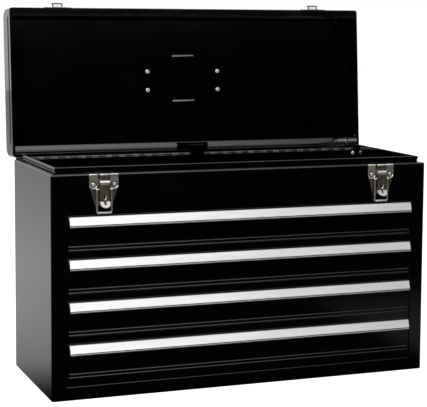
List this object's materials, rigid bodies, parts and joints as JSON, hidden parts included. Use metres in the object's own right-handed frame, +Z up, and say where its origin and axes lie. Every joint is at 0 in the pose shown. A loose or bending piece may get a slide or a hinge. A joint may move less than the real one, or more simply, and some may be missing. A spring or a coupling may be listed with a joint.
{
  "type": "machinist tool chest",
  "caption": "Portable steel machinist tool chest: shallow drawers with full-width bright pulls, an open till under a hinged lid, draw latches and a folding handle.",
  "frame": {"origin": "middle of the flat underside of the case", "axes": "+X to the right along the drawers, +Y to the back and the hinge, +Z up"},
  "size_m": [0.5224, 0.2858, 0.4977],
  "materials": {
    "black_enamel": "gloss black baked enamel",
    "bright_aluminium": "bright satin anodised",
    "nickel_plate": "nickel plate",
    "zinc_steel": "bright zinc plate",
    "black_grip": "moulded, fine grained",
    "guide_nylon": "moulded nylon"
  },
  "bodies": {
    "case": {"back_panel": "black_enamel", "bottom_panel": "black_enamel", "front_frame": "black_enamel", "hinge_case_leaf": "zinc_steel", "hinge_pin": "zinc_steel", "latch_base_left": "nickel_plate", "latch_base_right": "nickel_plate", "latch_pin_left": "nickel_plate", "latch_pin_right": "nickel_plate", "latch_rivets": "nickel_plate", "lock_bar_guides": "guide_nylon", "rail_1_left": "zinc_steel", "rail_1_right": "zinc_steel", "rail_2_left": "zinc_steel", "rail_2_right": "zinc_steel", "rail_3_left": "zinc_steel", "rail_3_right": "zinc_steel", "rail_4_left": "zinc_steel", "rail_4_right": "zinc_steel", "side_left": "black_enamel", "side_right": "black_enamel", "till_rivets": "nickel_plate", "till_tray": "black_enamel"},
    "lid": {"handle_bracket_left": "nickel_plate", "handle_bracket_right": "nickel_plate", "handle_rivets": "nickel_plate", "hinge_lid_leaf": "black_enamel", "lid_shell": "black_enamel", "lock_pusher": "black_enamel", "strike_left": "nickel_plate", "strike_right": "nickel_plate", "strike_rivets": "nickel_plate"},
    "handle": {"handle_bail": "nickel_plate", "handle_grip": "black_grip"},
    "drawer_1": {"drawer_1_front": "black_enamel", "drawer_1_pan": "black_enamel", "drawer_1_pull": "bright_aluminium", "drawer_1_runner_left": "zinc_steel", "drawer_1_runner_right": "zinc_steel"},
    "drawer_2": {"drawer_2_front": "black_enamel", "drawer_2_pan": "black_enamel", "drawer_2_pull": "bright_aluminium", "drawer_2_runner_left": "zinc_steel", "drawer_2_runner_right": "zinc_steel"},
    "drawer_3": {"drawer_3_front": "black_enamel", "drawer_3_pan": "black_enamel", "drawer_3_pull": "bright_aluminium", "drawer_3_runner_left": "zinc_steel", "drawer_3_runner_right": "zinc_steel"},
    "drawer_4": {"drawer_4_front": "black_enamel", "drawer_4_pan": "black_enamel", "drawer_4_pull": "bright_aluminium", "drawer_4_runner_left": "zinc_steel", "drawer_4_runner_right": "zinc_steel"},
    "lock_bar": {"lock_bar": "black_enamel"},
    "latch_lever_left": {"latch_lever_left": "nickel_plate"},
    "latch_lever_right": {"latch_lever_right": "nickel_plate"},
    "latch_bail_left": {"latch_bail_left": "nickel_plate"},
    "latch_bail_right": {"latch_bail_right": "nickel_plate"}
  },
  "joints": [
    {"name": "lid_hinge", "type": "hinge", "parent": "case", "child": "lid", "pos_m": [0, 0.1036, 0.2866], "axis": [1, 0, 0], "range_deg": [0, 94.4]},
    {"name": "handle_pivot", "type": "hinge", "parent": "lid", "child": "handle", "pos_m": [0, 0.1586, 0.38748], "axis": [1, 0, 0], "range_deg": [0, 156.2]},
    {"name": "drawer_1_slide", "type": "slide", "parent": "case", "child": "drawer_1", "axis": [0, 1, 0], "range_m": [-0.15, 0]},
    {"name": "drawer_2_slide", "type": "slide", "parent": "case", "child": "drawer_2", "axis": [0, 1, 0], "range_m": [-0.15, 0]},
    {"name": "drawer_3_slide", "type": "slide", "parent": "case", "child": "drawer_3", "axis": [0, 1, 0], "range_m": [-0.15, 0]},
    {"name": "drawer_4_slide", "type": "slide", "parent": "case", "child": "drawer_4", "axis": [0, 1, 0], "range_m": [-0.15, 0]},
    {"name": "lock_bar_slide", "type": "slide", "parent": "case", "child": "lock_bar", "axis": [0, 0, -1], "range_m": [0, 0.008]},
    {"name": "latch_lever_left_pivot", "type": "hinge", "parent": "case", "child": "latch_lever_left", "pos_m": [-0.1925, -0.1061, 0.275], "axis": [1, 0, 0], "range_deg": [-150, 0]},
    {"name": "latch_bail_left_pivot", "type": "hinge", "parent": "latch_lever_left", "child": "latch_bail_left", "pos_m": [-0.1925, -0.1048, 0.2665], "axis": [-1, 0, 0], "range_deg": [0, 180]},
    {"name": "latch_lever_right_pivot", "type": "hinge", "parent": "case", "child": "latch_lever_right", "pos_m": [0.1925, -0.1061, 0.275], "axis": [1, 0, 0], "range_deg": [-150, 0]},
    {"name": "latch_bail_right_pivot", "type": "hinge", "parent": "latch_lever_right", "child": "latch_bail_right", "pos_m": [0.1925, -0.1048, 0.2665], "axis": [-1, 0, 0], "range_deg": [0, 180]}
  ],
  "couplings": [
    {"joint": "lock_bar_slide", "follows": "lid_hinge", "m_per_rad": 0.0048556}
  ]
}
